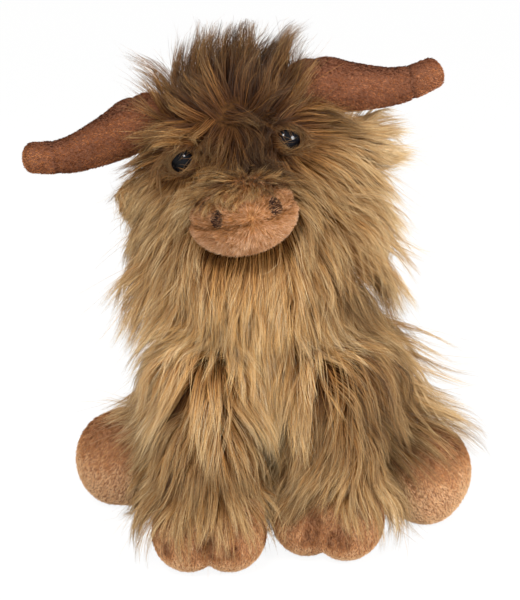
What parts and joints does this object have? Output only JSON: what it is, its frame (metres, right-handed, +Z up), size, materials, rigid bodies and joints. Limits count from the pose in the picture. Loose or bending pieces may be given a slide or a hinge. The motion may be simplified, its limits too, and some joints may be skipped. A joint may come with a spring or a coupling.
{
  "type": "plush cow",
  "caption": "Sitting long-haired plush cow with soft horns, button eyes, a short-pile muzzle and splayed floppy legs.",
  "frame": {"origin": "on the flat patch under the torso that the cow sits on, below the neck", "axes": "+Z up, the cow faces -Y, and its own left side is +X"},
  "size_m": [0.2285, 0.2058, 0.2503],
  "materials": {
    "long_pile": "long shaggy acrylic pile, dark brown at the roots and straw gold at the tips",
    "short_pile": "short brushed minky pile, tan where it is stroked and brown in the hollows",
    "horn_pile": "short brushed minky pile, reddish brown",
    "muzzle_pile": "short brushed minky pile, pinkish tan, laid in a whorl",
    "fibre_filling": "loose white polyester fibre",
    "pouch_cloth": "plain cotton bag of plastic pellets",
    "dark_thread": "dark brown satin embroidery and sewing thread",
    "eye_plastic": "polished black button",
    "washer_plastic": "moulded white plastic"
  },
  "bodies": {
    "torso": {"torso_cover": "long_pile", "torso_stuffing": "fibre_filling", "pellet_pouch": "pouch_cloth"},
    "neck_disc": {"neck_gusset": "short_pile"},
    "neck_thread": {"neck_stitching": "dark_thread"},
    "head": {"head_cover": "long_pile", "head_stuffing": "fibre_filling", "muzzle_upper_panel": "muzzle_pile", "muzzle_lower_panel": "muzzle_pile", "muzzle_stuffing": "fibre_filling", "nostril_left": "dark_thread", "nostril_right": "dark_thread", "eye_left": "eye_plastic", "eye_right": "eye_plastic", "eye_washer_left": "washer_plastic", "eye_washer_right": "washer_plastic"},
    "horn_left": {"horn_cover_left": "horn_pile", "horn_tip_left": "horn_pile", "horn_stuffing_left": "fibre_filling"},
    "ear_left": {"ear_left": "long_pile"},
    "front_leg_left": {"front_leg_left_cover": "long_pile", "front_leg_left_hoof": "short_pile", "front_leg_left_stuffing": "fibre_filling"},
    "hind_leg_left": {"hind_leg_left_cover": "long_pile", "hind_leg_left_hoof": "short_pile", "hind_leg_left_stuffing": "fibre_filling"},
    "horn_right": {"horn_cover_right": "horn_pile", "horn_tip_right": "horn_pile", "horn_stuffing_right": "fibre_filling"},
    "ear_right": {"ear_right": "long_pile"},
    "front_leg_right": {"front_leg_right_cover": "long_pile", "front_leg_right_hoof": "short_pile", "front_leg_right_stuffing": "fibre_filling"},
    "hind_leg_right": {"hind_leg_right_cover": "long_pile", "hind_leg_right_hoof": "short_pile", "hind_leg_right_stuffing": "fibre_filling"},
    "tail": {"tail_cord": "long_pile", "tail_tuft": "long_pile"}
  },
  "joints": [
    {"name": "head_nod", "type": "hinge", "parent": "torso", "child": "neck_disc", "pos_m": [0.0015, 0.002, 0.118], "axis": [1, 0, 0], "range_deg": [-12, 12], "stiffness_Nm_per_rad": 2.5},
    {"name": "head_tilt", "type": "hinge", "parent": "neck_disc", "child": "neck_thread", "pos_m": [0.0015, 0.002, 0.118], "axis": [0, 1, 0], "range_deg": [-6, 18], "stiffness_Nm_per_rad": 2.5},
    {"name": "head_turn", "type": "hinge", "parent": "neck_thread", "child": "head", "pos_m": [0.0015, 0.002, 0.118], "axis": [-0.2079, 0, 0.9781], "range_deg": [-30, 30], "stiffness_Nm_per_rad": 0.8},
    {"name": "horn_left_flex", "type": "hinge", "parent": "head", "child": "horn_left", "pos_m": [0.01859, -0.001, 0.23], "axis": [0, -1, 0], "range_deg": [-6, 6], "stiffness_Nm_per_rad": 0.6},
    {"name": "ear_left_fold", "type": "hinge", "parent": "head", "child": "ear_left", "pos_m": [0.03544, 0.008, 0.19882], "axis": [0.2079, 0, -0.9781], "range_deg": [-25, 25], "stiffness_Nm_per_rad": 0.1},
    {"name": "front_leg_left_lift", "type": "hinge", "parent": "torso", "child": "front_leg_left", "pos_m": [0.031, -0.038, 0.08], "axis": [-1, 0, 0], "range_deg": [0, 50], "stiffness_Nm_per_rad": 0.6},
    {"name": "hind_leg_left_splay", "type": "hinge", "parent": "torso", "child": "hind_leg_left", "pos_m": [0.059, 0.006, 0.026], "axis": [0, 0, -1], "range_deg": [-64, 8], "stiffness_Nm_per_rad": 0.5},
    {"name": "horn_right_flex", "type": "hinge", "parent": "head", "child": "horn_right", "pos_m": [-0.05967, -0.001, 0.21337], "axis": [0, 1, 0], "range_deg": [-6, 6], "stiffness_Nm_per_rad": 0.6},
    {"name": "ear_right_fold", "type": "hinge", "parent": "head", "child": "ear_right", "pos_m": [-0.06238, 0.008, 0.17803], "axis": [-0.2079, 0, 0.9781], "range_deg": [-25, 25], "stiffness_Nm_per_rad": 0.1},
    {"name": "front_leg_right_lift", "type": "hinge", "parent": "torso", "child": "front_leg_right", "pos_m": [-0.031, -0.038, 0.08], "axis": [-1, 0, 0], "range_deg": [0, 50], "stiffness_Nm_per_rad": 0.6},
    {"name": "hind_leg_right_splay", "type": "hinge", "parent": "torso", "child": "hind_leg_right", "pos_m": [-0.059, 0.006, 0.026], "axis": [0, 0, 1], "range_deg": [-6, 66], "stiffness_Nm_per_rad": 0.5},
    {"name": "tail_lift", "type": "hinge", "parent": "torso", "child": "tail", "pos_m": [0, 0.062, 0.044], "axis": [1, 0, 0], "range_deg": [0, 60], "stiffness_Nm_per_rad": 0.2}
  ]
}
